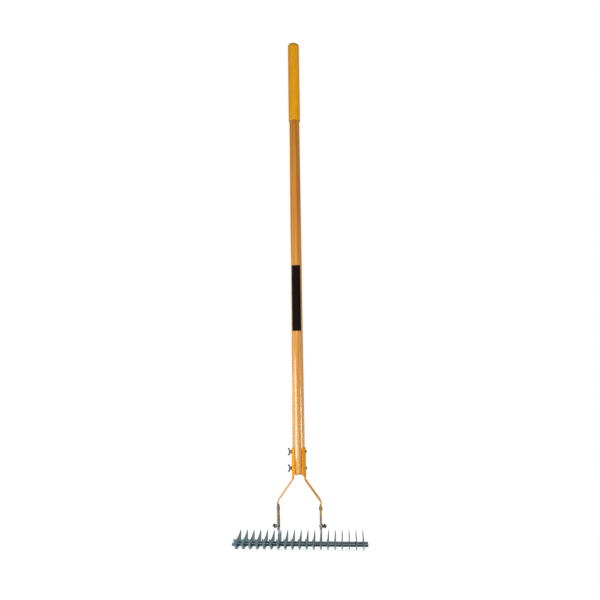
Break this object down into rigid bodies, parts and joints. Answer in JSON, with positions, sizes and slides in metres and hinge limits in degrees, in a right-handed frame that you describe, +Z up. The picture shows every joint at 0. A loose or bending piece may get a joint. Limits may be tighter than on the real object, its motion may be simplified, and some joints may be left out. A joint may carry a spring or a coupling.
{
  "type": "thatch rake",
  "caption": "Long-handled thatch rake: crescent blades on twin rods, tilting between two straps bolted to a wooden handle with a cushion grip.",
  "frame": {"origin": "on the ground under the middle of the head, below the handle's axis, with the rake upright and its head square to the handle", "axes": "+Z up the handle, +X along the bar of blades, the front of the label faces -Y"},
  "size_m": [0.381, 0.1048, 1.5697],
  "materials": {
    "wood": "clear-coated hardwood with straight grain",
    "grip_vinyl": "soft matte vinyl",
    "label_film": "plain black film",
    "strap_paint": "gloss yellow-orange enamel on steel",
    "blade_zinc": "blue-grey zinc plate",
    "rod_steel": "dark zinc-plated steel rod",
    "fastener_steel": "dull zinc-plated fasteners"
  },
  "bodies": {
    "handle_frame": {"handle": "wood", "grip": "grip_vinyl", "label": "label_film", "left_strap": "strap_paint", "right_strap": "strap_paint", "upper_handle_bolt": "fastener_steel", "lower_handle_bolt": "fastener_steel", "left_pivot_rivet": "fastener_steel", "right_pivot_rivet": "fastener_steel", "left_lock_bolt": "fastener_steel", "right_lock_bolt": "fastener_steel"},
    "head": {"front_rod": "rod_steel", "rear_rod": "rod_steel", "blade_01": "blade_zinc", "blade_02": "blade_zinc", "blade_03": "blade_zinc", "blade_04": "blade_zinc", "blade_05": "blade_zinc", "blade_06": "blade_zinc", "blade_07": "blade_zinc", "blade_08": "blade_zinc", "blade_09": "blade_zinc", "blade_10": "blade_zinc", "blade_11": "blade_zinc", "blade_12": "blade_zinc", "blade_13": "blade_zinc", "blade_14": "blade_zinc", "blade_15": "blade_zinc", "blade_16": "blade_zinc", "blade_17": "blade_zinc", "blade_18": "blade_zinc", "blade_19": "blade_zinc"},
    "upper_handle_washer": {"upper_handle_washer": "fastener_steel"},
    "upper_handle_wing_nut": {"upper_handle_wing_nut": "fastener_steel"},
    "lower_handle_washer": {"lower_handle_washer": "fastener_steel"},
    "lower_handle_wing_nut": {"lower_handle_wing_nut": "fastener_steel"},
    "left_lock_washer": {"left_lock_washer": "fastener_steel"},
    "left_lock_wing_nut": {"left_lock_wing_nut": "fastener_steel"},
    "right_lock_washer": {"right_lock_washer": "fastener_steel"},
    "right_lock_wing_nut": {"right_lock_wing_nut": "fastener_steel"}
  },
  "joints": [
    {"name": "head_tilt", "type": "hinge", "parent": "handle_frame", "child": "head", "pos_m": [0, 0, 0.108], "axis": [1, 0, 0], "range_deg": [-20, 20]},
    {"name": "upper_handle_nut_travel", "type": "slide", "parent": "handle_frame", "child": "upper_handle_washer", "axis": [-1, 0, 0], "range_m": [0, 0.0016]},
    {"name": "upper_handle_nut_turn", "type": "hinge", "parent": "upper_handle_washer", "child": "upper_handle_wing_nut", "pos_m": [-0.0206, 0, 0.2642], "axis": [-1, 0, 0], "range_deg": [0, 720]},
    {"name": "lower_handle_nut_travel", "type": "slide", "parent": "handle_frame", "child": "lower_handle_washer", "axis": [-1, 0, 0], "range_m": [0, 0.0016]},
    {"name": "lower_handle_nut_turn", "type": "hinge", "parent": "lower_handle_washer", "child": "lower_handle_wing_nut", "pos_m": [-0.0206, 0, 0.2184], "axis": [-1, 0, 0], "range_deg": [0, 720]},
    {"name": "left_lock_nut_travel", "type": "slide", "parent": "handle_frame", "child": "left_lock_washer", "axis": [-1, 0, 0], "range_m": [0, 0.0016]},
    {"name": "left_lock_nut_turn", "type": "hinge", "parent": "left_lock_washer", "child": "left_lock_wing_nut", "pos_m": [-0.0631, 0, 0.0614], "axis": [-1, 0, 0], "range_deg": [0, 720]},
    {"name": "right_lock_nut_travel", "type": "slide", "parent": "handle_frame", "child": "right_lock_washer", "axis": [1, 0, 0], "range_m": [0, 0.0016]},
    {"name": "right_lock_nut_turn", "type": "hinge", "parent": "right_lock_washer", "child": "right_lock_wing_nut", "pos_m": [0.0631, 0, 0.0614], "axis": [1, 0, 0], "range_deg": [0, 720]}
  ],
  "couplings": [
    {"joint": "upper_handle_nut_travel", "follows": "upper_handle_nut_turn", "m_per_rad": 0.00012732},
    {"joint": "lower_handle_nut_travel", "follows": "lower_handle_nut_turn", "m_per_rad": 0.00012732},
    {"joint": "left_lock_nut_travel", "follows": "left_lock_nut_turn", "m_per_rad": 0.00012732},
    {"joint": "right_lock_nut_travel", "follows": "right_lock_nut_turn", "m_per_rad": 0.00012732}
  ]
}
